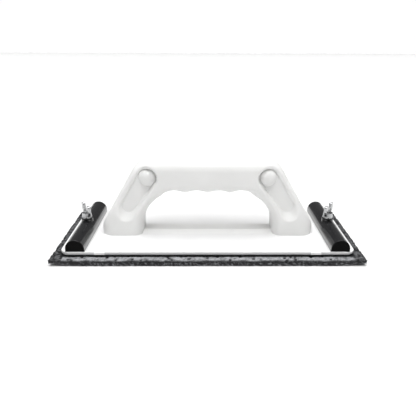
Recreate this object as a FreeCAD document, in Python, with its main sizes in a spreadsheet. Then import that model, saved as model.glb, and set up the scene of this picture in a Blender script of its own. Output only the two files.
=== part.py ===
# Hand rubbing float: a coarse slab under a white plate, a closed D-handle, and a clamp bar with a wing nut at each end.
# Units are millimetres. +X runs along the float, +Z is up, and z = 0 is the working face of the slab.
import FreeCAD, Part
import math
import os
import re
import Sketcher

DOC = FreeCAD.newDocument("rubbing_float")

# ---------------------------------------------------------------- driving sizes
SIZES = {
    # abrasive slab and its backing
    "slab_length": 280.0,
    "slab_width": 115.0,
    "slab_thick": 5.6,
    "pad_thick": 1.2,
    "pad_inset": 0.6,
    # base plate
    "plate_length": 263.0,
    "plate_width": 100.0,
    "plate_thick": 3.4,
    "plate_corner": 8.0,
    "plate_edge": 1.8,
    "plate_top_edge": 0.5,
    "lug_place": 96.0,
    "lug_width": 9.0,
    "lug_proud": 1.0,
    "lug_height": 1.9,
    "lug_low": 1.2,
    # D-handle, measured from the plate's top
    "foot_out": 101.6,
    "foot_in": 61.5,
    "foot_side": 8.9,
    "handle_high": 74.0,
    "handle_deep": 30.4,
    "shoulder": 63.4,
    "shoulder_round": 26.0,
    "foot_round": 14.0,
    "arch_round": 32.0,
    "grip_under": 40.8,
    "outer_edge": 12.0,
    "inner_edge": 10.0,
    # finger grooves under the grip
    "finger_pitch": 21.0,
    "finger_round": 15.0,
    "finger_deep": 4.4,
    "finger_soft": 1.5,
    # leg recess and its domed cap
    "recess_deep": 5.5,
    "recess_edge": 2.2,
    "recess_top_x": 56.1,
    "recess_top_z": 56.4,
    "recess_top_r": 9.7,
    "recess_low_x": 77.3,
    "recess_low_z": 23.2,
    "recess_low_r": 8.9,
    "floor_top_r": 8.3,
    "floor_low_x": 75.0,
    "floor_low_z": 28.6,
    "floor_low_r": 6.2,
    "cap_r": 7.9,
    "cap_rim": 0.8,
    "cap_dome": 4.6,
    "spigot_r": 4.7,
    "spigot_long": 1.4,
    # hollow inside the handle
    "shell_wall": 4.0,
    "face_wall": 8.0,
    "arch_wall": 6.5,
    "foot_floor": 12.0,
    "core_corner": 8.0,
    "post_r": 6.0,
    "post_bite": 0.5,
    # low bar between the feet
    "sill_wide": 21.6,
    "sill_top": 12.6,
    "sill_high": 3.0,
    # M4 screws and nuts in the handle
    "screw_d": 4.0,
    "screw_head_d": 8.0,
    "screw_head": 2.8,
    "screw_slack": 0.15,
    "sink_r": 4.8,
    "sink_deep": 5.0,
    "nut_flats": 7.0,
    "nut_high": 3.2,
    # countersunk screws up into the feet
    "foot_screw_x": 82.0,
    "foot_screw_y": 7.6,
    "foot_screw_d": 3.5,
    "foot_screw_long": 13.0,
    "foot_head_d": 7.2,
    "pilot_deep": 11.5,
    "fit": 0.05,
    # clamp bars
    "bar_place": 117.7,
    "bar_wide": 17.0,
    "bar_high": 11.0,
    "bar_side": 2.6,
    "bar_long": 99.0,
    "bar_wall": 2.2,
    "bar_end_wall": 3.0,
    "bar_post_r": 5.6,
    "bar_hole_d": 5.6,
    "bar_edge": 0.4,
    "seat_r": 5.6,
    "seat_rise": 1.0,
    "washer_r": 5.6,
    "washer_thick": 1.0,
    # M5 clamp bolts
    "bolt_d": 4.9,
    "bolt_head_d": 13.0,
    "bolt_head": 1.3,
    "bolt_neck": 5.0,
    "neck_short": 0.3,
    "bolt_under": 0.2,
    "bolt_slack": 0.1,
    "stud_short": 0.5,
    # wing nuts
    "hub_low_r": 4.9,
    "hub_top_r": 4.3,
    "hub_high": 5.0,
    "hub_band": 0.8,
    "wing_reach": 9.3,
    "wing_low": 1.6,
    "wing_side": 7.4,
    "wing_root": 3.2,
    "wing_inner": 4.0,
    "wing_slope": 0.8,
    "wing_bite": 0.6,
    "wing_high": 13.5,
    "wing_thick": 2.6,
    "wing_tip_r": 1.9,
    "wing_turn": 56.0,
}

sheet = DOC.addObject("Spreadsheet::Sheet", "Sizes")
for row, (name, number) in enumerate(SIZES.items(), 1):
    sheet.set("A%d" % row, name)
    sheet.set("B%d" % row, str(number))
    sheet.setAlias("B%d" % row, name)
DOC.recompute()


def bind(text):
    """A size formula with its names pointed at the sheet."""
    return re.sub(r"[a-z_]{3,}", lambda word: "Sizes." + word.group() if word.group() in SIZES else word.group(), text)


def value(text):
    """The number that a size formula has now."""
    return float(sheet.evalExpression(bind(text)))


# ---------------------------------------------------------------- heights that several pieces share
PLATE_LOW = "(slab_thick + pad_thick)"
PLATE_TOP = "(slab_thick + pad_thick + plate_thick)"
HALF_DEEP = "(handle_deep / 2)"
RECESS_FLOOR = "(handle_deep / 2 - recess_deep)"
SINK_FLOOR = "(handle_deep / 2 - recess_deep - sink_deep)"
GROOVE_CENTRE = "(grip_under + finger_deep - finger_round)"
BAR_ROUND = "(((bar_wide / 2)^2 + (bar_high - bar_side)^2) / (2 * (bar_high - bar_side)))"
SEAT_TOP = "(bar_high + seat_rise)"
WING_SEAT = "(slab_thick + pad_thick + plate_thick + bar_high + seat_rise + washer_thick)"


# ---------------------------------------------------------------- modelling helpers
def new_body(label):
    body = DOC.addObject("PartDesign::Body", label)
    body.Label = label
    return body


def place(item, x="0", y="0", z="0"):
    for axis, text in (("x", x), ("y", y), ("z", z)):
        item.setExpression("Placement.Base." + axis, bind(text))


def new_sketch(body, role, name, offset="0"):
    """A sketch on one of the body's own origin planes, moved out along the plane's normal."""
    sketch = body.newObject("Sketcher::SketchObject", name)
    plane = [part for part in body.Origin.OriginFeatures if part.Role == role][0]
    sketch.AttachmentSupport = [(plane, "")]
    sketch.MapMode = "FlatFace"
    sketch.setExpression("AttachmentOffset.Base.z", bind(offset))
    return sketch


def pin(sketch, geometry, point, x, y):
    """Dimension one point of a sketch from the sketch's origin."""
    for kind, text in (("DistanceX", x), ("DistanceY", y)):
        index = sketch.addConstraint(Sketcher.Constraint(kind, -1, 1, geometry, point, value(text)))
        sketch.setExpression("Constraints[%d]" % index, bind(text))


def size_radius(sketch, geometry, text):
    index = sketch.addConstraint(Sketcher.Constraint("Radius", geometry, value(text)))
    sketch.setExpression("Constraints[%d]" % index, bind(text))


def vector(x, y):
    return FreeCAD.Vector(value(x), value(y), 0)


def polygon(sketch, corners):
    """A closed outline of straight lines through corners given as size formulas."""
    lines = []
    for start, end in zip(corners, corners[1:] + corners[:1]):
        lines.append(sketch.addGeometry(Part.LineSegment(vector(*start), vector(*end)), False))
    for number, line in enumerate(lines):
        sketch.addConstraint(Sketcher.Constraint("Coincident", line, 2, lines[(number + 1) % len(lines)], 1))
    for line, corner in zip(lines, corners):
        pin(sketch, line, 1, *corner)
    return lines


def rectangle(sketch, x, y, wide, deep):
    left, right = "%s - (%s) / 2" % (x, wide), "%s + (%s) / 2" % (x, wide)
    low, high = "%s - (%s) / 2" % (y, deep), "%s + (%s) / 2" % (y, deep)
    polygon(sketch, [(left, low), (right, low), (right, high), (left, high)])


def circle(sketch, x, y, radius):
    geometry = sketch.addGeometry(Part.Circle(vector(x, y), FreeCAD.Vector(0, 0, 1), value(radius)), False)
    pin(sketch, geometry, 3, x, y)
    size_radius(sketch, geometry, radius)


def tapered_slot(sketch, top, low):
    """Two round ends of their own size, joined by their outer tangents."""
    (ax, ay, ar), (bx, by, br) = [tuple(value(text) for text in end) for end in (top, low)]
    gap = math.hypot(bx - ax, by - ay)
    along = math.atan2(by - ay, bx - ax)
    swing = math.acos((ar - br) / gap)
    up = FreeCAD.Vector(0, 0, 1)
    a, b = FreeCAD.Vector(ax, ay, 0), FreeCAD.Vector(bx, by, 0)
    turn = 2 * math.pi
    first = sketch.addGeometry(Part.ArcOfCircle(Part.Circle(a, up, ar), along + swing, along - swing + turn), False)
    second = sketch.addGeometry(Part.ArcOfCircle(Part.Circle(b, up, br), along - swing, along + swing), False)

    def rim(centre, radius, angle):
        return centre + FreeCAD.Vector(radius * math.cos(angle), radius * math.sin(angle), 0)
    lower = sketch.addGeometry(Part.LineSegment(rim(a, ar, along - swing), rim(b, br, along - swing)), False)
    upper = sketch.addGeometry(Part.LineSegment(rim(b, br, along + swing), rim(a, ar, along + swing)), False)
    for one, one_end, two, two_end in ((first, 2, lower, 1), (lower, 2, second, 1),
                                       (second, 2, upper, 1), (upper, 2, first, 1)):
        sketch.addConstraint(Sketcher.Constraint("Tangent", one, one_end, two, two_end))
    for geometry, end in ((first, top), (second, low)):
        pin(sketch, geometry, 3, end[0], end[1])
        size_radius(sketch, geometry, end[2])


def feature(body, kind, name, sketch, length=None, backwards=False, both=False, through=False):
    """A Pad or Pocket of a sketch."""
    item = body.newObject("PartDesign::" + kind, name)
    item.Profile = sketch
    if through:
        item.Type = "ThroughAll"
    else:
        item.setExpression("Length", bind(length))
    item.Reversed = backwards
    if both:
        item.SideType = "Symmetric"
    DOC.recompute()
    return item


def edges_where(item, test):
    """Names of the edges of a feature whose box passes a test."""
    return ["Edge%d" % number for number, edge in enumerate(item.Shape.Edges, 1) if test(edge)]


def dress(body, kind, name, base, names, size):
    """A Fillet or Chamfer on named edges."""
    if not names:
        raise ValueError("no edge found for " + name)
    item = body.newObject("PartDesign::" + kind, name)
    item.Base = (base, names)
    item.setExpression("Radius" if kind == "Fillet" else "Size", bind(size))
    DOC.recompute()
    return item


def near(one, two, slack=0.01):
    return abs(one - two) < slack


def flat_at(edge, axis, level):
    """True for an edge that lies wholly at one level along an axis."""
    box = edge.BoundBox
    low, high = {"x": (box.XMin, box.XMax), "y": (box.YMin, box.YMax), "z": (box.ZMin, box.ZMax)}[axis]
    return near(low, level) and near(high, level)


def runs_along(edge, axis):
    """True for a straight edge parallel to an axis."""
    spans = {"x": edge.BoundBox.XLength, "y": edge.BoundBox.YLength, "z": edge.BoundBox.ZLength}
    others = [spans[name] for name in "xyz" if name != axis]
    return spans[axis] > 0.1 and max(others) < 0.001


def turned(item, axis, angle):
    item.Placement = FreeCAD.Placement(FreeCAD.Vector(0, 0, 0), FreeCAD.Rotation(FreeCAD.Vector(*axis), angle))


PIECES = []


# ---------------------------------------------------------------- slab and its backing
def abrasive_slab():
    body = new_body("abrasive_slab")
    sketch = new_sketch(body, "XY_Plane", "slab_outline")
    rectangle(sketch, "0", "0", "slab_length", "slab_width")
    feature(body, "Pad", "slab_block", sketch, "slab_thick")
    place(body)
    PIECES.append(body)


def backing_pad():
    """Foam rubber sheet between slab and plate, cut a little smaller than the plate."""
    body = new_body("backing_pad")
    sketch = new_sketch(body, "XY_Plane", "pad_outline")
    rectangle(sketch, "0", "0", "plate_length - 2 * pad_inset", "plate_width - 2 * pad_inset")
    block = feature(body, "Pad", "pad_block", sketch, "pad_thick")
    corners = edges_where(block, lambda edge: runs_along(edge, "z"))
    dress(body, "Fillet", "pad_corners", block, corners, "plate_corner - pad_inset")
    place(body, z="slab_thick")
    PIECES.append(body)


# ---------------------------------------------------------------- base plate
def base_plate():
    body = new_body("base_plate")
    sketch = new_sketch(body, "XY_Plane", "plate_outline")
    rectangle(sketch, "0", "0", "plate_length", "plate_width")
    block = feature(body, "Pad", "plate_block", sketch, "plate_thick")
    corners = edges_where(block, lambda edge: runs_along(edge, "z"))
    block = dress(body, "Fillet", "plate_corners", block, corners, "plate_corner")
    rim = edges_where(block, lambda edge: flat_at(edge, "z", 0))
    block = dress(body, "Fillet", "plate_low_edge", block, rim, "plate_edge")
    rim = edges_where(block, lambda edge: flat_at(edge, "z", value("plate_thick")))
    block = dress(body, "Fillet", "plate_high_edge", block, rim, "plate_top_edge")

    sketch = new_sketch(body, "XY_Plane", "lug_outline", "lug_low")
    for side in ("-", "+"):
        for edge in ("-", "+"):
            rectangle(sketch, side + "lug_place", edge + "(plate_width / 2)", "lug_width", "2 * lug_proud")
    feature(body, "Pad", "side_lugs", sketch, "lug_height")

    # Square hole for each bolt neck, with a round pocket below for its head.
    sketch = new_sketch(body, "XY_Plane", "neck_holes")
    for side in ("-", "+"):
        rectangle(sketch, side + "bar_place", "0", "bolt_neck + 2 * bolt_slack", "bolt_neck + 2 * bolt_slack")
    feature(body, "Pocket", "neck_cut", sketch, through=True, backwards=True)
    sketch = new_sketch(body, "XY_Plane", "head_pockets")
    for side in ("-", "+"):
        circle(sketch, side + "bar_place", "0", "bolt_head_d / 2 + bolt_slack")
    feature(body, "Pocket", "head_cut", sketch, "bolt_under + bolt_head", backwards=True)

    # Countersunk holes for the foot screws.
    sketch = new_sketch(body, "XY_Plane", "foot_holes")
    for side in ("-", "+"):
        for edge in ("-", "+"):
            circle(sketch, side + "foot_screw_x", edge + "foot_screw_y", "foot_screw_d / 2 + fit")
    cut = feature(body, "Pocket", "foot_cut", sketch, through=True, backwards=True)
    hole_r = value("foot_screw_d / 2 + fit")
    rims = edges_where(cut, lambda edge: flat_at(edge, "z", 0) and near(edge.BoundBox.XLength, 2 * hole_r))
    dress(body, "Chamfer", "foot_sinks", cut, rims, "(foot_head_d - foot_screw_d) / 2")
    place(body, z=PLATE_LOW)
    PIECES.append(body)


# ---------------------------------------------------------------- handle shells
def shell_outline(body):
    """The D-handle's side view without its roundings: splayed legs, level grip, square opening."""
    sketch = new_sketch(body, "XZ_Plane", "handle_outline")
    polygon(sketch, [
        ("foot_out", "0"), ("foot_out", "foot_side"), ("shoulder", "handle_high"),
        ("-shoulder", "handle_high"), ("-foot_out", "foot_side"), ("-foot_out", "0"),
        ("-foot_in", "0"), ("-foot_in", "grip_under"), ("foot_in", "grip_under"), ("foot_in", "0")])
    return feature(body, "Pad", "handle_block", sketch, HALF_DEEP)


def corner_edges(item, x, z):
    """The edges across the handle that stand on one corner of its outline, on both legs."""
    return edges_where(item, lambda edge: runs_along(edge, "y")
                       and near(abs(edge.BoundBox.XMin), value(x)) and near(edge.BoundBox.ZMin, value(z)))


def shell_rounding(body, block):
    block = dress(body, "Fillet", "shoulder_rounds", block, corner_edges(block, "shoulder", "handle_high"),
                  "shoulder_round")
    block = dress(body, "Fillet", "foot_rounds", block, corner_edges(block, "foot_out", "foot_side"), "foot_round")
    block = dress(body, "Fillet", "arch_rounds", block, corner_edges(block, "foot_in", "grip_under"), "arch_round")
    face = value("-handle_deep / 2")

    def on_face(edge):
        return flat_at(edge, "y", face) and not flat_at(edge, "z", 0)

    def inside(edge):
        box = edge.BoundBox
        return max(abs(box.XMin), abs(box.XMax)) < value("foot_in") + 0.01 and box.ZMax < value("grip_under") + 0.01
    block = dress(body, "Fillet", "outer_edge_round", block,
                  edges_where(block, lambda edge: on_face(edge) and not inside(edge)), "outer_edge")
    return dress(body, "Fillet", "inner_edge_round", block,
                 edges_where(block, lambda edge: on_face(edge) and inside(edge)), "inner_edge")


def finger_grooves(body):
    """Four grooves across the underside of the grip, one finger pitch apart."""
    sketch = new_sketch(body, "XZ_Plane", "groove_circle")
    circle(sketch, "-1.5 * finger_pitch", GROOVE_CENTRE, "finger_round")
    cut = feature(body, "Pocket", "groove", sketch, through=True, backwards=True)
    row = body.newObject("PartDesign::LinearPattern", "groove_row")
    row.Originals = [cut]
    row.Direction = (sketch, ["H_Axis"])
    row.setExpression("Length", bind("3 * finger_pitch"))
    row.Occurrences = 4
    body.Tip = row
    DOC.recompute()
    ridges = edges_where(row, lambda edge: runs_along(edge, "y")
                         and near(edge.BoundBox.ZMin, value("grip_under"), value("finger_deep / 4"))
                         and abs(edge.BoundBox.XMin) < value("1.5 * finger_pitch"))
    dress(body, "Fillet", "finger_ridges", row, ridges, "finger_soft")


def in_recess(edge):
    """True for an edge whose middle lies within the box round a leg's recess mouth."""
    middle = edge.BoundBox.Center
    return (value("recess_top_x - recess_top_r") <= abs(middle.x) <= value("recess_low_x + recess_low_r")
            and value("recess_low_z - recess_low_r") <= middle.z + 0.01
            and middle.z <= value("recess_top_z + recess_top_r") + 0.01
            and edge.BoundBox.XLength < value("recess_low_x - recess_top_x + recess_top_r"))


def leg_recess(body, side):
    """A sloped pocket in the face of one leg, wide at the surface and narrow at its floor."""
    mouth = new_sketch(body, "XZ_Plane", "recess_mouth_" + side[0], HALF_DEEP)
    tapered_slot(mouth, (side[1] + "recess_top_x", "recess_top_z", "recess_top_r"),
                 (side[1] + "recess_low_x", "recess_low_z", "recess_low_r"))
    floor = new_sketch(body, "XZ_Plane", "recess_floor_" + side[0], RECESS_FLOOR)
    tapered_slot(floor, (side[1] + "recess_top_x", "recess_top_z", "floor_top_r"),
                 (side[1] + "floor_low_x", "floor_low_z", "floor_low_r"))
    cut = body.newObject("PartDesign::SubtractiveLoft", "recess_" + side[0])
    cut.Profile = mouth
    cut.Sections = [floor]
    cut.Ruled = True
    DOC.recompute()
    mouth_level = value("-handle_deep / 2")
    inward = 1 if side[1] == "+" else -1
    rim = edges_where(cut, lambda edge: flat_at(edge, "y", mouth_level)
                      and inward * edge.BoundBox.Center.x > 0 and in_recess(edge))
    dress(body, "Fillet", "recess_edge_" + side[0], cut, rim, "recess_edge")


def shell_core(body):
    """The hollow: it follows the outline inside, one wall in, and stops above the solid feet."""
    lean = "((foot_out - shoulder) / (handle_high - foot_side))"
    reach = "(foot_out - shell_wall * sqrt(1 + %s^2) - %s * (%%s - foot_side))" % (lean, lean)
    roof = "(handle_high - shell_wall)"
    low = reach % "foot_floor"
    cut = reach % ("(%s - core_corner)" % roof)
    top = "(%s - 1.5 * core_corner)" % cut
    sketch = new_sketch(body, "XZ_Plane", "core_outline")
    wall = "(foot_in + arch_wall)"
    under = "(grip_under + arch_wall)"
    polygon(sketch, [
        (low, "foot_floor"), (cut, roof + " - core_corner"), (top, roof),
        ("-" + top, roof), ("-" + cut, roof + " - core_corner"), ("-" + low, "foot_floor"),
        ("-" + wall, "foot_floor"), ("-" + wall, under), (wall, under), (wall, "foot_floor")])
    hollow = feature(body, "Pocket", "core", sketch, HALF_DEEP + " - face_wall", backwards=True)
    corners = corner_edges(hollow, wall, under)
    dress(body, "Fillet", "core_arch", hollow, corners,
          "min(arch_round + arch_wall; 0.95 * (%s - foot_floor))" % under)


def screw_posts(body):
    """Round posts in the hollow for the two screws that join the shells, with a sunk seat for head or nut."""
    spots = [(side + "recess_top_x", "recess_top_z") for side in ("-", "+")]
    for name, kind, offset, radius, length in (
            ("post", "Pad", "0", "post_r", HALF_DEEP + " - face_wall + post_bite"),
            ("sink", "Pocket", SINK_FLOOR, "sink_r", "sink_deep + 0.5 * recess_deep"),
            ("screw_hole", "Pocket", "0", "screw_d / 2 + screw_slack", None)):
        sketch = new_sketch(body, "XZ_Plane", name + "_circles", offset)
        for x, z in spots:
            circle(sketch, x, z, radius)
        feature(body, kind, name, sketch, length, backwards=(kind == "Pocket"), through=length is None)


def handle_shell(label, turn):
    body = new_body(label)
    shell_rounding(body, shell_outline(body))
    finger_grooves(body)
    for side in (("left", "-"), ("right", "+")):
        leg_recess(body, side)
    shell_core(body)
    screw_posts(body)

    # Low bar between the feet, sloped towards the outside.
    sketch = new_sketch(body, "YZ_Plane", "sill_section")
    polygon(sketch, [("0", "0"), ("0", "sill_high"), ("-sill_top / 2", "sill_high"), ("-sill_wide / 2", "0")])
    feature(body, "Pad", "sill", sketch, "2 * (foot_in + inner_edge)", both=True)

    # Pilot holes for the foot screws.
    sketch = new_sketch(body, "XY_Plane", "pilot_circles")
    for side in ("-", "+"):
        circle(sketch, side + "foot_screw_x", "-foot_screw_y", "foot_screw_d / 2 + fit")
    feature(body, "Pocket", "pilots", sketch, "pilot_deep", backwards=True)
    turned(body, (0, 0, 1), turn)
    place(body, z=PLATE_TOP)
    PIECES.append(body)


# ---------------------------------------------------------------- domed caps
def cap(label, side, face):
    """A domed disc with a short spigot that plugs the sunk seat. It is turned about its own upright axis."""
    body = new_body(label)
    sketch = new_sketch(body, "XZ_Plane", "cap_profile")
    crown = "(cap_rim + cap_dome)"
    dome_r = "((cap_r^2 + cap_dome^2) / (2 * cap_dome))"
    corners = [("0", crown), ("0", "-spigot_long"), ("spigot_r", "-spigot_long"), ("spigot_r", "0"),
               ("cap_r", "0"), ("cap_r", "cap_rim")]
    lines = []
    for start, end in zip(corners, corners[1:]):
        lines.append(sketch.addGeometry(Part.LineSegment(vector(*start), vector(*end)), False))
    for one, two in zip(lines, lines[1:]):
        sketch.addConstraint(Sketcher.Constraint("Coincident", one, 2, two, 1))
    for line, corner in zip(lines, corners):
        pin(sketch, line, 1, *corner)
    pin(sketch, lines[-1], 2, *corners[-1])
    centre = vector("0", "%s - %s" % (crown, dome_r))
    start_angle = math.asin(value("cap_rim - %s + %s" % (crown, dome_r)) / value(dome_r))
    dome = Part.ArcOfCircle(Part.Circle(centre, FreeCAD.Vector(0, 0, 1), value(dome_r)), start_angle, math.pi / 2)
    arc = sketch.addGeometry(dome, False)
    sketch.addConstraint(Sketcher.Constraint("Coincident", lines[-1], 2, arc, 1))
    sketch.addConstraint(Sketcher.Constraint("Coincident", arc, 2, lines[0], 1))
    size_radius(sketch, arc, dome_r)
    spun = body.newObject("PartDesign::Revolution", "cap_turned")
    spun.Profile = sketch
    spun.ReferenceAxis = (sketch, ["V_Axis"])
    spun.Angle = 360
    DOC.recompute()
    turned(body, (1, 0, 0), 90 if face == "-" else -90)
    place(body, side + "recess_top_x", face + RECESS_FLOOR, PLATE_TOP + " + recess_top_z")
    PIECES.append(body)


# ---------------------------------------------------------------- fasteners
def cylinder(name, radius, height, x="0", y="0", z="0", axis=None, angle=0):
    item = DOC.addObject("Part::Cylinder", name)
    item.setExpression("Radius", bind(radius))
    item.setExpression("Height", bind(height))
    if axis:
        turned(item, axis, angle)
    place(item, x, y, z)
    return item


def fused(name, base, tool):
    item = DOC.addObject("Part::Fuse", name)
    item.Base = base
    item.Tool = tool
    return item


def group(label, items):
    """Separate equal fasteners kept together as one sub-part."""
    item = DOC.addObject("Part::Compound", label)
    item.Label = label
    item.Links = items
    PIECES.append(item)


def shell_screws():
    """Pan-head screws through both shells: the head seats in the front shell, the thread ends in the rear one."""
    screws = []
    for side in ("-", "+"):
        tag = "left" if side == "-" else "right"
        x, z = side + "recess_top_x", PLATE_TOP + " + recess_top_z"
        shank = cylinder("shell_shank_" + tag, "screw_d / 2", "2 * %s + nut_high" % SINK_FLOOR,
                         x, "-" + SINK_FLOOR, z, (1, 0, 0), -90)
        head = cylinder("shell_head_" + tag, "screw_head_d / 2", "screw_head",
                        x, "-%s - screw_head" % SINK_FLOOR, z, (1, 0, 0), -90)
        screws.append(fused("shell_screw_" + tag, head, shank))
    group("shell_screws", screws)


def shell_nuts():
    nuts = []
    for side in ("-", "+"):
        tag = "left" if side == "-" else "right"
        x, z = side + "recess_top_x", PLATE_TOP + " + recess_top_z"
        hexagon = DOC.addObject("Part::Prism", "nut_hex_" + tag)
        hexagon.Polygon = 6
        hexagon.setExpression("Circumradius", bind("nut_flats / sqrt(3)"))
        hexagon.setExpression("Height", bind("nut_high"))
        turned(hexagon, (1, 0, 0), -90)
        place(hexagon, x, SINK_FLOOR, z)
        bore = cylinder("nut_bore_" + tag, "screw_d / 2 + fit", "nut_high", x, SINK_FLOOR, z, (1, 0, 0), -90)
        cut = DOC.addObject("Part::Cut", "nut_" + tag)
        cut.Base = hexagon
        cut.Tool = bore
        nuts.append(cut)
    group("shell_nuts", nuts)


def foot_screws():
    """Countersunk screws from under the plate up into the solid feet."""
    screws = []
    sink = "((foot_head_d - foot_screw_d) / 2 - fit)"
    for side in ("-", "+"):
        for edge in ("-", "+"):
            tag = "%s%s" % ("left" if side == "-" else "right", "_front" if edge == "-" else "_rear")
            x, y = side + "foot_screw_x", edge + "foot_screw_y"
            shank = cylinder("foot_shank_" + tag, "foot_screw_d / 2", "foot_screw_long", x, y, PLATE_LOW)
            head = DOC.addObject("Part::Cone", "foot_head_" + tag)
            head.setExpression("Radius1", bind("foot_screw_d / 2 + " + sink))
            head.setExpression("Radius2", bind("foot_screw_d / 2"))
            head.setExpression("Height", bind(sink))
            place(head, x, y, PLATE_LOW)
            screws.append(fused("foot_screw_" + tag, shank, head))
    group("foot_screws", screws)


def clamp_bolt(label, side):
    """A flat round head and a square neck, held in the plate, with the plain stud above."""
    head = cylinder(label + "_head", "bolt_head_d / 2", "bolt_head", side + "bar_place", "0",
                    PLATE_LOW + " + bolt_under")
    neck = DOC.addObject("Part::Box", label + "_neck")
    tall = "plate_thick - bolt_under - bolt_head - neck_short"
    for name, text in (("Length", "bolt_neck"), ("Width", "bolt_neck"), ("Height", tall)):
        neck.setExpression(name, bind(text))
    place(neck, side + "bar_place - bolt_neck / 2", "-bolt_neck / 2", PLATE_LOW + " + bolt_under + bolt_head")
    low = fused(label + "_low", head, neck)
    start = "(%s + bolt_under + bolt_head)" % PLATE_LOW
    stud = cylinder(label + "_stud", "bolt_d / 2", "%s + hub_high - stud_short - %s" % (WING_SEAT, start),
                    side + "bar_place", "0", start)
    PIECES.append(fused(label, low, stud))
    PIECES[-1].Label = label


# ---------------------------------------------------------------- clamp bars
def bar_section(sketch, half, side, arch_r, base):
    """A flat-bottomed D: two short upright sides and one arc over the top."""
    centre = "(bar_high - %s)" % BAR_ROUND
    points = [("-" + half, side), ("-" + half, base), (half, base), (half, side)]
    lines = []
    for start, end in zip(points, points[1:]):
        lines.append(sketch.addGeometry(Part.LineSegment(vector(*start), vector(*end)), False))
    for one, two in zip(lines, lines[1:]):
        sketch.addConstraint(Sketcher.Constraint("Coincident", one, 2, two, 1))
    angle = math.asin((value(side) - value(centre)) / value(arch_r))
    crown = Part.ArcOfCircle(Part.Circle(vector("0", centre), FreeCAD.Vector(0, 0, 1), value(arch_r)),
                             angle, math.pi - angle)
    arc = sketch.addGeometry(crown, False)
    sketch.addConstraint(Sketcher.Constraint("Coincident", lines[-1], 2, arc, 1))
    sketch.addConstraint(Sketcher.Constraint("Coincident", arc, 2, lines[0], 1))
    pin(sketch, lines[1], 1, "-" + half, base)
    pin(sketch, lines[1], 2, half, base)
    sketch.addConstraint(Sketcher.Constraint("Vertical", lines[0]))
    sketch.addConstraint(Sketcher.Constraint("Vertical", lines[2]))
    pin(sketch, arc, 3, "0", centre)
    size_radius(sketch, arc, arch_r)


def clamp_bar(label, side):
    body = new_body(label)
    sketch = new_sketch(body, "XZ_Plane", "bar_outline")
    bar_section(sketch, "(bar_wide / 2)", "bar_side", BAR_ROUND, "0")
    block = feature(body, "Pad", "bar_block", sketch, "bar_long", both=True)
    ends = edges_where(block, lambda edge: near(abs(edge.BoundBox.Center.y), value("bar_long / 2"))
                       and not flat_at(edge, "z", 0))
    dress(body, "Fillet", "bar_ends", block, ends, "bar_edge")

    # Seat for the washer, then the hollow underside with a post round the hole.
    sketch = new_sketch(body, "XY_Plane", "seat_circle", "bar_high / 2")
    circle(sketch, "0", "0", "seat_r")
    feature(body, "Pad", "seat", sketch, SEAT_TOP + " - bar_high / 2")
    half = "(bar_wide / 2 - bar_wall)"
    inner_r = "(%s - bar_wall)" % BAR_ROUND
    shoulder = "(bar_high - %s + sqrt(%s^2 - %s^2))" % (BAR_ROUND, inner_r, half)
    sketch = new_sketch(body, "XZ_Plane", "hollow_outline")
    bar_section(sketch, half, shoulder, inner_r, "0")
    feature(body, "Pocket", "hollow", sketch, "bar_long - 2 * bar_end_wall", both=True)
    sketch = new_sketch(body, "XY_Plane", "post_circle")
    circle(sketch, "0", "0", "bar_post_r")
    feature(body, "Pad", "post", sketch, "bar_high - bar_wall / 2")
    sketch = new_sketch(body, "XY_Plane", "bar_hole")
    circle(sketch, "0", "0", "bar_hole_d / 2")
    feature(body, "Pocket", "bolt_hole", sketch, through=True, backwards=True)
    place(body, side + "bar_place", "0", PLATE_TOP)
    PIECES.append(body)


def washer(label, side):
    outer = cylinder(label + "_disc", "washer_r", "washer_thick", side + "bar_place", "0",
                     PLATE_TOP + " + " + SEAT_TOP)
    bore = cylinder(label + "_bore", "bolt_d / 2 + 2 * fit", "washer_thick", side + "bar_place", "0",
                    PLATE_TOP + " + " + SEAT_TOP)
    ring = DOC.addObject("Part::Cut", label)
    ring.Label = label
    ring.Base = outer
    ring.Tool = bore
    PIECES.append(ring)


# ---------------------------------------------------------------- wing nuts
def wing_nut(label, side):
    """A cone-shaped hub with two upright wings that lean out from it."""
    body = new_body(label)
    sketch = new_sketch(body, "XZ_Plane", "hub_profile")
    polygon(sketch, [("bolt_d / 2 + fit", "0"), ("hub_low_r", "0"), ("hub_low_r", "hub_band"),
                     ("hub_top_r", "hub_high"), ("bolt_d / 2 + fit", "hub_high")])
    hub = body.newObject("PartDesign::Revolution", "hub")
    hub.Profile = sketch
    hub.ReferenceAxis = (sketch, ["V_Axis"])
    hub.Angle = 360
    DOC.recompute()
    sketch = new_sketch(body, "XZ_Plane", "wing_outline")
    for sign in ("-", "+"):
        polygon(sketch, [
            (sign + "wing_root", "wing_low - wing_bite"), (sign + "hub_low_r", "wing_low"),
            (sign + "wing_reach", "wing_side"), (sign + "wing_reach", "wing_high"),
            (sign + "(wing_inner + wing_slope)", "wing_high"), (sign + "wing_inner", "hub_high + wing_bite"),
            (sign + "wing_root", "hub_high - wing_bite")])
    wings = feature(body, "Pad", "wings", sketch, "wing_thick", both=True)
    tips = edges_where(wings, lambda edge: runs_along(edge, "y") and near(edge.BoundBox.ZMin, value("wing_high")))
    wings = dress(body, "Fillet", "wing_tips", wings, tips, "wing_tip_r")
    turned(body, (0, 0, 1), -value("wing_turn") if side == "-" else value("wing_turn") + 180)
    place(body, side + "bar_place", "0", WING_SEAT)
    PIECES.append(body)


# ---------------------------------------------------------------- the float
abrasive_slab()
backing_pad()
base_plate()
handle_shell("handle_front_shell", 0)
handle_shell("handle_rear_shell", 180)
for face_name, face_sign in (("front", "-"), ("rear", "+")):
    for side_name, side_sign in (("left", "-"), ("right", "+")):
        cap("%s_%s_cap" % (face_name, side_name), side_sign, face_sign)
shell_screws()
shell_nuts()
foot_screws()
for side_name, side_sign in (("left", "-"), ("right", "+")):
    clamp_bolt(side_name + "_clamp_bolt", side_sign)
    clamp_bar(side_name + "_clamp_bar", side_sign)
    washer(side_name + "_washer", side_sign)
    wing_nut(side_name + "_wing_nut", side_sign)

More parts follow.
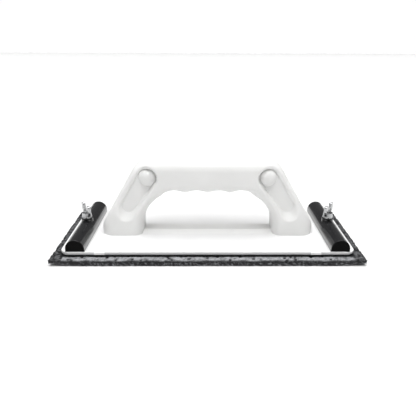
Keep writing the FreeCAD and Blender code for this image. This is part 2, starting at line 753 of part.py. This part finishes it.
# ---------------------------------------------------------------- check and write
DOC.recompute()
for item in DOC.Objects:
    if "Invalid" in item.State or "Error" in item.State:
        raise RuntimeError("%s failed: %s" % (item.Label, item.State))
for piece in PIECES:
    if piece.Shape.isNull() or not piece.Shape.isValid():
        raise RuntimeError("%s has no valid shape" % piece.Label)
os.makedirs("parts", exist_ok=True)
for piece in PIECES:
    piece.Shape.exportStep("parts/%s.step" % piece.Label)
    box = piece.Shape.BoundBox
    print("%-20s %d solid(s) %9.1f mm3  x %.1f..%.1f y %.1f..%.1f z %.1f..%.1f" % (
        piece.Label, len(piece.Shape.Solids), piece.Shape.Volume,
        box.XMin, box.XMax, box.YMin, box.YMax, box.ZMin, box.ZMax))
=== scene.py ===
# %% [markdown]
# # A hand rubbing float
# A coarse slab lies under a white plate. A closed D-handle stands on the plate, and at each end a black clamp bar
# with a wing nut sits across the plate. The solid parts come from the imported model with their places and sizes.
# This notebook gives each part its finish, rebuilds the coarse slab as a detailed mesh, and sets up a pale studio.

# %% Load the fixed frame
import math

import bmesh
import bpy
from mathutils import Matrix, Vector, noise


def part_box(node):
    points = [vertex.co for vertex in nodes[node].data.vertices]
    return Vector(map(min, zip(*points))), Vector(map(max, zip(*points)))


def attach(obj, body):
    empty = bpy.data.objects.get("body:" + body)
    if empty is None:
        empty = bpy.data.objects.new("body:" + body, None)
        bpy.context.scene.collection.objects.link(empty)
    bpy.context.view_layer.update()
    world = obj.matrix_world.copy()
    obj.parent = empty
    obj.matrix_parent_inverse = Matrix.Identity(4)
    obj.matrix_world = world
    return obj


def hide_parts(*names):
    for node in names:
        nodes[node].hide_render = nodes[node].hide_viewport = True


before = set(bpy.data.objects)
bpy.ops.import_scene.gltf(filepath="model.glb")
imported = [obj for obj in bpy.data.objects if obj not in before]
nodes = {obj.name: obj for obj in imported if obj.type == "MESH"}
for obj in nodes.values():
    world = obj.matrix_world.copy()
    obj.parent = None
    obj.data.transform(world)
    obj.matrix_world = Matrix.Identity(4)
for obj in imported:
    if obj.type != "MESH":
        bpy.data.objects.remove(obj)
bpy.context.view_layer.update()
MM = 0.001

# %% [markdown]
# ## Camera
# The camera looks down a little at the long side of the float. A camera can be turned with three Euler angles,
# but their order is easy to get wrong. Here the viewing direction is built as a vector from a yaw and a pitch, and
# the right and up directions follow from cross products, so each number can be read on its own.

# %% Camera
EYE = Vector((-3.0, -401.8, 188.7)) * MM
YAW = math.radians(0.48)
PITCH = math.radians(21.22)
ROLL = math.radians(0.2)
LENS_MM = 38.38
SENSOR_MM = 36


def camera_turn(yaw, pitch, roll):
    """The rotation of a camera that looks along +Y, turned right by yaw, down by pitch and rolled."""
    ahead = Vector((math.sin(yaw) * math.cos(pitch), math.cos(yaw) * math.cos(pitch), -math.sin(pitch)))
    level = Vector((math.cos(yaw), -math.sin(yaw), 0))
    upright = level.cross(ahead)
    right = math.cos(roll) * level + math.sin(roll) * upright
    up = math.cos(roll) * upright - math.sin(roll) * level
    return Matrix((right, up, -ahead)).transposed().to_4x4()


lens = bpy.data.cameras.new("camera")
lens.sensor_width = SENSOR_MM
lens.lens = LENS_MM
camera = bpy.data.objects.new("camera", lens)
bpy.context.scene.collection.objects.link(camera)
camera.matrix_world = Matrix.Translation(EYE) @ camera_turn(YAW, PITCH, ROLL)
bpy.context.scene.camera = camera

# %% [markdown]
# ## Light
# White plastic on a white floor is all about the exposure: the floor is just white, upright faces are a step
# darker, and folds are darker again. Area lights fade with distance and leave a grey horizon. A sun lamp with a
# very wide angle gives the same soft light everywhere, like a whole ceiling of softboxes, so two of them are
# used: one overhead, one far weaker from the front. The world is a dim even white. It lifts the shaded side of the
# handle a little, and is low enough to keep the black bars black.

# %% Studio light
TOP_POWER, TOP_SPREAD, TOP_ELEVATION, TOP_BEARING = 4.1, 66, 85, 0
FRONT_POWER, FRONT_SPREAD, FRONT_ELEVATION, FRONT_BEARING = 0.05, 60, 22, -14
WORLD_POWER = 0.22


def soft_sun(name, power, spread, elevation, bearing):
    """A wide sun lamp; elevation 90 is overhead, bearing 0 comes from the front."""
    lamp = bpy.data.lights.new(name, "SUN")
    lamp.energy = power
    lamp.angle = math.radians(spread)
    holder = bpy.data.objects.new(name, lamp)
    bpy.context.scene.collection.objects.link(holder)
    rise, side = math.radians(elevation), math.radians(bearing)
    source = Vector((math.sin(side) * math.cos(rise), -math.cos(side) * math.cos(rise), math.sin(rise)))
    holder.rotation_euler = (-source).to_track_quat("-Z", "Y").to_euler()
    return holder


soft_sun("ceiling softbox", TOP_POWER, TOP_SPREAD, TOP_ELEVATION, TOP_BEARING)
soft_sun("front softbox", FRONT_POWER, FRONT_SPREAD, FRONT_ELEVATION, FRONT_BEARING)
world = bpy.data.worlds.new("studio")
bpy.context.scene.world = world
world.use_nodes = True
sky = world.node_tree.nodes["Background"]
sky.inputs["Color"].default_value = (1, 1, 1, 1)
sky.inputs["Strength"].default_value = WORLD_POWER
bpy.context.scene.view_settings.view_transform = "Standard"

# %% [markdown]
# ## Material helpers
# Every finish is a small node tree on a Principled shader. Helpers keep the trees short: they make the material,
# make a noise pattern on Object coordinates, map a pattern's range to another, blend colours and chain bumps.
# Object coordinates are in metres on this object, so a pattern's size is given in millimetres and turned round.

# %% Helpers for finishes
def new_finish(name, colour, roughness, metallic=0.0):
    material = bpy.data.materials.new(name)
    material.use_nodes = True
    shader = material.node_tree.nodes["Principled BSDF"]
    shader.inputs["Base Color"].default_value = (*colour, 1)
    shader.inputs["Roughness"].default_value = roughness
    shader.inputs["Metallic"].default_value = metallic
    return material, material.node_tree, shader


def place_on(tree, stretch=(1, 1, 1)):
    """Object coordinates, stretched where a grain runs one way."""
    where = tree.nodes.new("ShaderNodeTexCoord")
    mapping = tree.nodes.new("ShaderNodeMapping")
    mapping.inputs["Scale"].default_value = stretch
    tree.links.new(where.outputs["Object"], mapping.inputs["Vector"])
    return mapping.outputs["Vector"]


def noise_mm(tree, where, size_mm, detail=3.0, rough=0.5):
    """A cloudy pattern whose lumps are about size_mm across."""
    clouds = tree.nodes.new("ShaderNodeTexNoise")
    clouds.inputs["Scale"].default_value = 1 / (size_mm * MM)
    clouds.inputs["Detail"].default_value = detail
    clouds.inputs["Roughness"].default_value = rough
    tree.links.new(where, clouds.inputs["Vector"])
    return clouds.outputs["Fac"]


def remap(tree, value, from_low, from_high, to_low, to_high):
    step = tree.nodes.new("ShaderNodeMapRange")
    for number, amount in enumerate((from_low, from_high, to_low, to_high), 1):
        step.inputs[number].default_value = amount
    tree.links.new(value, step.inputs[0])
    return step.outputs[0]


def blend_colours(tree, amount, first, second):
    """Between two colours, or between the outputs of two nodes."""
    mix = tree.nodes.new("ShaderNodeMix")
    mix.data_type = "RGBA"
    tree.links.new(amount, mix.inputs["Factor"])
    for socket, source in ((mix.inputs[6], first), (mix.inputs[7], second)):
        if isinstance(source, tuple):
            socket.default_value = (*source, 1)
        else:
            tree.links.new(source, socket)
    return mix.outputs[2]


def bump(tree, shader, layers):
    """Chain of bumps: each layer is a height pattern and its depth in millimetres."""
    normal = None
    for height, depth_mm in layers:
        step = tree.nodes.new("ShaderNodeBump")
        step.inputs["Strength"].default_value = 1.0
        step.inputs["Distance"].default_value = depth_mm * MM
        tree.links.new(height, step.inputs["Height"])
        if normal:
            tree.links.new(normal, step.inputs["Normal"])
        normal = step.outputs["Normal"]
    tree.links.new(normal, shader.inputs["Normal"])


# %% [markdown]
# ## White moulded plastic
# The handle, its caps and the plate are injection-moulded. A flat white looks like plaster, because real
# mouldings have a fine spark-eroded grain, a very slight waviness where thick walls sank as they cooled, and a
# sheen that changes a little from place to place. Those three things are made with noise: two bumps of very
# different size, and one pattern that moves the roughness.

# %% White plastic
TINT_MM, SHEEN_MM, GRAIN_MM, WAVE_MM = 26, 9, 0.45, 15
TINT_SHADE = 0.975


def white_moulding(name, colour, sheen_low, sheen_high, grain_depth, wave_depth):
    material, tree, shader = new_finish(name, colour, sheen_high)
    where = place_on(tree)
    tint = remap(tree, noise_mm(tree, where, TINT_MM, 2.0), 0.35, 0.65, 0.0, 1.0)
    shade = tuple(channel * TINT_SHADE for channel in colour)
    tree.links.new(blend_colours(tree, tint, colour, shade), shader.inputs["Base Color"])
    patches = noise_mm(tree, where, SHEEN_MM, 4.0, 0.6)
    tree.links.new(remap(tree, patches, 0.3, 0.7, sheen_low, sheen_high), shader.inputs["Roughness"])
    grain = noise_mm(tree, where, GRAIN_MM, 2.0)
    waves = noise_mm(tree, where, WAVE_MM, 1.0)
    bump(tree, shader, [(waves, wave_depth), (grain, grain_depth)])
    return material


# %% [markdown]
# The plate's upright edges are painted greyer than its top as a painted shade, so their colour is toned down by
# the direction a face points in. The small lugs that stand out from the long sides stay white, so the painted
# shade mask leaves out all that lies beyond the plate's own depth.

# %% Painted shade on the plate edges
LUG_PROUD_MM = 1.0
# Grey of the painted shade on the plate's upright faces.
EDGE_PAINTED_SHADE = (0.60, 0.60, 0.605)


def absolute(tree, value):
    size = tree.nodes.new("ShaderNodeMath")
    size.operation = "ABSOLUTE"
    tree.links.new(value, size.inputs[0])
    return size.outputs[0]


def multiply(tree, first, second):
    both = tree.nodes.new("ShaderNodeMath")
    both.operation = "MULTIPLY"
    tree.links.new(first, both.inputs[0])
    tree.links.new(second, both.inputs[1])
    return both.outputs[0]


def split_axes(tree, output):
    """The X, Y and Z of a part's own coordinates or of the direction its surface faces."""
    source = tree.nodes.new("ShaderNodeTexCoord")
    split = tree.nodes.new("ShaderNodeSeparateXYZ")
    tree.links.new(source.outputs[output], split.inputs["Vector"])
    return split.outputs


def paint_side_shade(material, half_depth, shade):
    """Paints shade on the upright faces of a moulding, but not on the lugs that stand out from its long sides."""
    tree = material.node_tree
    shader = tree.nodes["Principled BSDF"]
    plain = shader.inputs["Base Color"].links[0].from_socket
    upright = remap(tree, split_axes(tree, "Normal")["Z"], 0.35, 0.85, 1.0, 0.0)
    away = absolute(tree, split_axes(tree, "Object")["Y"])
    not_lug = remap(tree, away, half_depth + 0.1 * MM, half_depth + 0.3 * MM, 1.0, 0.0)
    # Painted shade: upright faces are blended towards the grey, the lugs are left out.
    painted_shade_mask = multiply(tree, upright, not_lug)
    tree.links.new(blend_colours(tree, painted_shade_mask, plain, shade), shader.inputs["Base Color"])


HANDLE_WHITE = white_moulding("handle white", (0.81, 0.81, 0.80), 0.34, 0.48, 0.02, 0.10)
CAP_WHITE = white_moulding("cap white", (0.78, 0.78, 0.77), 0.30, 0.42, 0.015, 0.04)
PLATE_WHITE = white_moulding("plate white", (0.82, 0.82, 0.82), 0.30, 0.38, 0.006, 0.015)
paint_side_shade(PLATE_WHITE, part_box("base_plate")[1][1] - LUG_PROUD_MM * MM, EDGE_PAINTED_SHADE)

# %% [markdown]
# ## Black clamp bars
# The bars are a glossy black extrusion, sawn off at both ends. Along its length an extrusion carries faint die
# lines, so the grain is stretched along Y. The sawn ends are matt, with a painted shade that makes them darker
# than the skin. A mask from the surface's own direction in the part's space tells an end from a side, and moves
# roughness and the painted shade colour there. The clear coat is also weaker on the crown, which is handled and
# rubbed, than on the upright sides.

# %% Black finishes
DIE_LINES = (1, 0.03, 1)
# The black of the sawn ends is a painted shade, darker than the skin.
SKIN_BLACK, DUST_BLACK, SAWN_END_SHADE_BLACK = (0.011, 0.011, 0.012), (0.020, 0.020, 0.021), (0.001, 0.001, 0.001)
SAWN_ROUGHNESS = 0.95


def black_extrusion():
    material, tree, shader = new_finish("bar black", (0.012, 0.012, 0.013), 0.2)
    shader.inputs["Specular IOR Level"].default_value = 0.2
    shader.inputs["Coat IOR"].default_value = 1.5
    shader.inputs["Coat Roughness"].default_value = 0.07
    where = place_on(tree)
    along = place_on(tree, DIE_LINES)
    facing = split_axes(tree, "Normal")
    sawn = remap(tree, absolute(tree, facing["Y"]), 0.93, 0.99, 0.0, 1.0)
    dust = remap(tree, noise_mm(tree, where, 2.2, 5.0, 0.7), 0.55, 0.8, 0.0, 1.0)
    skin = blend_colours(tree, dust, SKIN_BLACK, DUST_BLACK)
    # Painted shade: the sawn ends take the darker black.
    colour = blend_colours(tree, sawn, skin, SAWN_END_SHADE_BLACK)
    tree.links.new(colour, shader.inputs["Base Color"])
    lines = noise_mm(tree, along, 0.6, 3.0)
    gloss = remap(tree, lines, 0.3, 0.7, 0.16, 0.27)
    mix = tree.nodes.new("ShaderNodeMix")
    tree.links.new(sawn, mix.inputs["Factor"])
    tree.links.new(gloss, mix.inputs["A"])
    mix.inputs["B"].default_value = SAWN_ROUGHNESS
    tree.links.new(mix.outputs["Result"], shader.inputs["Roughness"])
    polish = remap(tree, facing["Z"], 0.15, 0.6, 0.9, 0.22)
    unsawn = remap(tree, sawn, 0.0, 1.0, 1.0, 0.0)
    tree.links.new(multiply(tree, unsawn, polish), shader.inputs["Coat Weight"])
    bump(tree, shader, [(noise_mm(tree, along, 1.6, 1.0), 0.03), (lines, 0.006)])
    return material


def black_steel():
    material, tree, shader = new_finish("washer black", (0.015, 0.015, 0.016), 0.4, 0.3)
    where = place_on(tree)
    tree.links.new(remap(tree, noise_mm(tree, where, 0.8, 3.0), 0.3, 0.7, 0.3, 0.5), shader.inputs["Roughness"])
    bump(tree, shader, [(noise_mm(tree, where, 0.5, 2.0), 0.01)])
    return material


def foam_rubber():
    material, tree, shader = new_finish("foam black", (0.010, 0.010, 0.011), 0.9)
    shader.inputs["Specular IOR Level"].default_value = 0.2
    cells = noise_mm(tree, place_on(tree), 0.5, 3.0, 0.7)
    tint = blend_colours(tree, cells, (0.006, 0.006, 0.007), (0.022, 0.022, 0.023))
    tree.links.new(tint, shader.inputs["Base Color"])
    bump(tree, shader, [(cells, 0.12)])
    return material


BAR_BLACK = black_extrusion()
WASHER_BLACK = black_steel()
FOAM_BLACK = foam_rubber()

# %% [markdown]
# ## Zinc-plated steel
# The wing nuts are cast and zinc-plated, so they are bright but not mirrors: the casting leaves a soft pebbled
# skin, and the plating is duller in some places than in others. Turned screws and bolts get the same plating with
# a finer grain.

# %% Zinc finishes
BRIGHT_ZINC, STAINED_ZINC = (0.50, 0.505, 0.51), (0.16, 0.165, 0.17)


def zinc(name, pebble_mm, pebble_depth, dull):
    material, tree, shader = new_finish(name, BRIGHT_ZINC, dull, 1.0)
    where = place_on(tree)
    stain = remap(tree, noise_mm(tree, where, 3.0, 4.0, 0.6), 0.45, 0.75, 0.0, 1.0)
    tree.links.new(blend_colours(tree, stain, BRIGHT_ZINC, STAINED_ZINC), shader.inputs["Base Color"])
    patches = remap(tree, noise_mm(tree, where, 1.4, 3.0), 0.3, 0.7, 0.6 * dull, 1.4 * dull)
    tree.links.new(patches, shader.inputs["Roughness"])
    bump(tree, shader, [(noise_mm(tree, where, pebble_mm, 2.0), pebble_depth)])
    return material


CAST_ZINC = zinc("cast zinc", 1.6, 0.12, 0.24)
TURNED_ZINC = zinc("turned zinc", 0.4, 0.01, 0.3)

# %% [markdown]
# ## Dressing the CAD parts
# A CAD part keeps its mesh and its place; only its material slot is filled. A table from part names to finishes
# makes it easy to see that no part is left bare.

# %% Dress the CAD parts
FINISH_OF = {
    "base_plate": PLATE_WHITE,
    "backing_pad": FOAM_BLACK,
    "handle_front_shell": HANDLE_WHITE,
    "handle_rear_shell": HANDLE_WHITE,
    "shell_screws": TURNED_ZINC,
    "shell_nuts": TURNED_ZINC,
    "foot_screws": TURNED_ZINC,
}
for side in ("left", "right"):
    for face in ("front", "rear"):
        FINISH_OF["%s_%s_cap" % (face, side)] = CAP_WHITE
    FINISH_OF[side + "_clamp_bar"] = BAR_BLACK
    FINISH_OF[side + "_washer"] = WASHER_BLACK
    FINISH_OF[side + "_wing_nut"] = CAST_ZINC
    FINISH_OF[side + "_clamp_bolt"] = TURNED_ZINC
for name, finish in FINISH_OF.items():
    slots = nodes[name].data.materials
    slots.clear()
    slots.append(finish)
print("dressed", len(FINISH_OF), "parts; left for a mesh:", sorted(set(nodes) - set(FINISH_OF)))

# %% [markdown]
# ## The coarse slab
# The slab is bonded grit. Its top is worn light and flat and is crossed by dark cracks, with black pits along the
# rim where grains fell out. Its sides are broken and dark, its lower corners curl up a little, and its front top
# edge is rubbed down. A bump map can't break an outline, so this is real geometry: a grid one millimetre fine,
# extruded down to a slab, whose vertices are moved by noise. What the noise did is kept on each vertex as an
# attribute named wear_and_shade, so that the colour follows the cracks exactly. Besides the wear tone it holds a
# painted shade: the top is painted dark under the plate and in a thin band along the plate's edge.

# %% Slab block
GRID_MM = 1.0
SLAB_LAYERS = 5
slab_low, slab_high = [Vector(corner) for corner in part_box("abrasive_slab")]
slab_size = slab_high - slab_low
slab_middle = (slab_low + slab_high) / 2
plate_half = Vector(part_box("backing_pad")[1]) / MM


def slab_block():
    """A closed block of small squares, as large as the slab's space."""
    mesh = bmesh.new()
    columns, rows = [round(length / (GRID_MM * MM)) for length in slab_size.xy]
    bmesh.ops.create_grid(mesh, x_segments=columns, y_segments=rows, size=0.5)
    bmesh.ops.scale(mesh, verts=mesh.verts, vec=(slab_size.x, slab_size.y, 1))
    bmesh.ops.translate(mesh, verts=mesh.verts, vec=(slab_middle.x, slab_middle.y, slab_high.z))
    grown = bmesh.ops.extrude_face_region(mesh, geom=mesh.faces[:])
    lower = [item for item in grown["geom"] if isinstance(item, bmesh.types.BMVert)]
    bmesh.ops.translate(mesh, verts=lower, vec=(0, 0, -slab_size.z))
    upright = [edge for edge in mesh.edges
               if abs(edge.verts[0].co.z - edge.verts[1].co.z) > slab_size.z / 2]
    bmesh.ops.subdivide_edges(mesh, edges=upright, cuts=SLAB_LAYERS - 1, use_grid_fill=True)
    bmesh.ops.recalc_face_normals(mesh, faces=mesh.faces)
    return mesh


# %% [markdown]
# Two patterns break the slab up. Long slanting cracks are the borders between stretched Voronoi cells: where the
# two nearest cell centres are equally far away, a border runs. Pits are the middles of small round cells that
# only some cells have.

# %% Crack and pit patterns
CRACK_LONG = 13.0
CRACK_SHORT = 5.5
CRACK_SLANT = 0.55
PIT_SIZE = 4.0
CRACK_WIDTH = 0.10
PIT_RADIUS = 0.32
PIT_SHARE_INSIDE, PIT_SHARE_RIM, PIT_RIM_REACH = 0.08, 0.80, 4.5
STRIP_BLEND = 3.0
# Width of the painted shade on the slab top along the plate's edge.
PLATE_SHADE_REACH = 1.3
RIM_RAGGED = 0.55
RIM_REACH = 4.0
EDGE_WORN = 1.2
CURL = 2.3
CURL_REACH = 28.0


def smooth(value):
    """Zero below 0, one above 1, and a soft S between."""
    value = min(1.0, max(0.0, value))
    return value * value * (3 - 2 * value)


def crack_depth(x, y):
    """One at the middle of a crack, zero on a flat flake."""
    bend = noise.noise(Vector((x / 11, y / 11, 3.7)))
    along, across = x + CRACK_SLANT * y + 2.5 * bend, y - 0.2 * x + 3.5 * bend
    spot = Vector((along / CRACK_LONG, across / CRACK_SHORT, 0.5))
    near_two = noise.voronoi(spot)[0]
    gap = near_two[1] - near_two[0]
    return smooth(1 - gap / CRACK_WIDTH)


def pit_depth(x, y, rim):
    """One in a pit. Pits crowd at the rim, and are rare further in."""
    distances, centres = noise.voronoi(Vector((x / PIT_SIZE, y / PIT_SIZE, 9.1)))
    chosen = noise.cell(centres[0] * 7.3)
    share = PIT_SHARE_INSIDE + PIT_SHARE_RIM * smooth(1 - rim / PIT_RIM_REACH)
    share *= 0.3 + 0.7 * on_side_strip(x)
    if chosen > share:
        return 0.0
    return smooth(1.5 - distances[0] / PIT_RADIUS)


def outside_plate(x, y):
    """How far a point lies outside the plate's outline, zero or less beneath it."""
    return max(abs(x) - plate_half.x, abs(y) - plate_half.y)


def on_side_strip(x):
    """One on the broken strips beyond the plate's ends, zero along its long sides."""
    return smooth((abs(x) - plate_half.x) / STRIP_BLEND + 1)


def grit(x, y, z, size):
    return noise.noise(Vector((x / size, y / size, z / size + 5.0)))


# %% [markdown]
# Each vertex is moved by its distance from the rim. The rim is pulled in, never out, so that the slab stays in
# the space that the model gives it. A share of the pull is passed on to the vertices behind, so that squares at
# the rim don't fold over. The strips beyond the plate's ends are rougher and darker than the ones along its sides.

# %% Break up the slab
CRACK_DROP, PIT_DROP, DEEPEST = 0.55, 1.1, 0.55
CHUNK_MM, CHIP_MM, FLECK_MM = 6.5, 1.7, 0.9
WAIST = 0.35
FLAKE_WORN, RIM_DARK, RIM_SIDE_LIGHTER, STRIP_DARK = 0.60, 0.80, 0.45, 0.42


def break_up(mesh):
    wear_and_shade_layer = mesh.verts.layers.float.new("wear_and_shade")
    half = slab_size / 2 / MM
    top = slab_high.z / MM
    for vertex in mesh.verts:
        x, y, z = vertex.co.x / MM, vertex.co.y / MM, vertex.co.z / MM
        away_x, away_y = half.x - abs(x - slab_middle.x / MM), half.y - abs(y - slab_middle.y / MM)
        rim = min(away_x, away_y)
        level = (z - slab_low.z / MM) / (slab_size.z / MM)
        on_top, below = level > 0.999, level < 0.001
        pull = smooth(1 - rim / RIM_REACH)
        chunk = 0.5 + 0.5 * grit(x, y, 0.6 * z, CHUNK_MM)
        chip = 0.5 + 0.5 * grit(x, y, z, CHIP_MM)
        ragged = RIM_RAGGED * pull * (0.55 * smooth(1.6 * chunk - 0.3) + 0.45 * smooth(1.5 * chip - 0.25))
        if not on_top:
            ragged += WAIST * pull * smooth(1 - abs(level - 0.5) * 2)
        move_x = -math.copysign(ragged * smooth(1.6 - away_x / RIM_REACH), x)
        move_y = -math.copysign(ragged * smooth(1.6 - away_y / RIM_REACH), y)
        corner = smooth(1 - math.hypot(away_x, away_y) / CURL_REACH)
        if on_top:
            crack = crack_depth(x, y) * (0.25 + 0.75 * on_side_strip(x))
            pit = pit_depth(x, y, rim)
            front = smooth((half.y + y) / -6 + 1) * smooth((half.x - abs(x)) / 14)
            rubbed = front * smooth(1 - away_y / (1.6 + 2.6 * chunk))
            drop = CRACK_DROP * crack + PIT_DROP * pit + EDGE_WORN * rubbed + 0.10 * (1 - chip)
            drop = min(drop, DEEPEST * slab_size.z / MM)
            strip = on_side_strip(x)
            wear_and_shade = (1 - 0.92 * crack) * (1 - 0.97 * pit) * (FLAKE_WORN + 0.5 * (chip - 0.35))
            wear_and_shade *= 1 - (RIM_DARK - RIM_SIDE_LIGHTER * strip) * smooth(1.3 - rim / (0.5 + 1.6 * chunk))
            wear_and_shade *= 1 - STRIP_DARK * strip
            # Painted shade: the top is darkened in a thin band next to the plate's edge.
            wear_and_shade *= smooth(outside_plate(x, y) / PLATE_SHADE_REACH)
            vertex.co.z = (top - drop) * MM
        elif below:
            lift = 0.03 + 0.20 * smooth(1.8 * chip - 0.5) + CURL * corner
            lift += 0.20 * smooth(1 - rim / 1.6)
            wear_and_shade = 0.22 + 0.35 * chip
            vertex.co.z = (slab_low.z / MM + lift * (0.3 + 0.7 * max(corner, smooth(1 - rim / 5)))) * MM
        else:
            # The sides are lighter towards the bottom and darker towards the top.
            wear_and_shade = 0.12 + 0.52 * smooth(1.7 * chip - 0.58) * (1.35 - 0.95 * level)
            wear_and_shade += 0.25 * smooth(2.2 * grit(x, y, z, FLECK_MM) - 0.3)
            vertex.co.z += CURL * corner * (1 - level) * MM
        vertex[wear_and_shade_layer] = min(1.0, max(0.0, wear_and_shade))
        vertex.co.x += move_x * MM
        vertex.co.y += move_y * MM


# %% Finish a mesh as a piece
def finished(mesh, name, body, material):
    """Writes a mesh into an object at the origin, and ties it to its body and slot."""
    data = bpy.data.meshes.new(name)
    mesh.to_mesh(data)
    mesh.free()
    piece = bpy.data.objects.new(name, data)
    bpy.context.scene.collection.objects.link(piece)
    data.materials.append(material)
    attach(piece, body)
    print(name, len(data.polygons), "faces")
    return piece


# %% [markdown]
# ## The slab's finish
# The wear_and_shade attribute runs from black in a crack and in the painted shade along the plate's edge to pale
# on a flake. A fine noise on Object coordinates is mixed in, because the mesh is too coarse for single grains, and
# the same noise drives a bump. Worn flakes are a little smoother than broken grit, so the roughness follows the
# attribute as well.

# %% Slab finish
def coarse_grit():
    material, tree, shader = new_finish("bonded grit", (0.3, 0.3, 0.31), 0.75)
    shader.inputs["Specular IOR Level"].default_value = 0.35
    where = place_on(tree)
    wear_and_shade = tree.nodes.new("ShaderNodeAttribute")
    wear_and_shade.attribute_name = "wear_and_shade"
    grains = noise_mm(tree, where, 0.7, 3.0, 0.65)
    streaks = noise_mm(tree, place_on(tree, (0.25, 1, 1)), 1.6, 4.0, 0.6)
    add = tree.nodes.new("ShaderNodeMath")
    add.operation = "MULTIPLY_ADD"
    tree.links.new(remap(tree, grains, 0.3, 0.7, -1.0, 1.0), add.inputs[0])
    add.inputs[1].default_value = 0.16
    tree.links.new(wear_and_shade.outputs["Fac"], add.inputs[2])
    ramp = tree.nodes.new("ShaderNodeValToRGB")
    tree.links.new(add.outputs[0], ramp.inputs["Fac"])
    stops = ((0.0, (0.004, 0.004, 0.005)), (0.3, (0.035, 0.035, 0.037)), (0.55, (0.16, 0.163, 0.17)),
             (0.8, (0.38, 0.385, 0.40)), (1.0, (0.52, 0.525, 0.54)))
    while len(ramp.color_ramp.elements) < len(stops):
        ramp.color_ramp.elements.new(0.5)
    for stop, (place, colour) in zip(ramp.color_ramp.elements, stops):
        stop.position = place
        stop.color = (*colour, 1)
    dark = tree.nodes.new("ShaderNodeMix")
    dark.data_type = "RGBA"
    dark.blend_type = "MULTIPLY"
    tree.links.new(remap(tree, streaks, 0.5, 0.7, 0.0, 0.5), dark.inputs["Factor"])
    tree.links.new(ramp.outputs["Color"], dark.inputs[6])
    dark.inputs[7].default_value = (0.45, 0.45, 0.46, 1)
    tree.links.new(dark.outputs[2], shader.inputs["Base Color"])
    tree.links.new(remap(tree, wear_and_shade.outputs["Fac"], 0.2, 0.9, 0.95, 0.55), shader.inputs["Roughness"])
    bump(tree, shader, [(streaks, 0.12), (grains, 0.16)])
    return material


slab_mesh = slab_block()
break_up(slab_mesh)
slab = finished(slab_mesh, "coarse_slab", "root", coarse_grit())
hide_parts("abrasive_slab")

# %% [markdown]
# ## Floor and backdrop
# A pale floor runs out to a plain wall. The wall is only there for the camera. It is kept out of reflections and
# bounced light, because a bright wall behind would put a grey glare on the black bars.

# %% Floor and backdrop
STAGE_SIZE = 12
WALL_AWAY = 5.0


def stage_plane(name, place, tilt, material):
    bpy.ops.mesh.primitive_plane_add(size=STAGE_SIZE, location=place, rotation=(math.radians(tilt), 0, 0))
    plane = bpy.context.object
    plane.name = name
    plane.data.materials.append(material)
    return plane


floor_white, _, _ = new_finish("floor white", (0.80, 0.80, 0.80), 0.9)
wall_white, _, wall_shader = new_finish("wall white", (0, 0, 0), 1.0)
wall_shader.inputs["Emission Color"].default_value = (1, 1, 1, 1)
wall_shader.inputs["Emission Strength"].default_value = 1.0
stage_plane("floor", (0, 0, 0), 0, floor_white)
wall = stage_plane("wall", (0, WALL_AWAY, 0), 90, wall_white)
wall.visible_glossy = False
wall.visible_diffuse = False
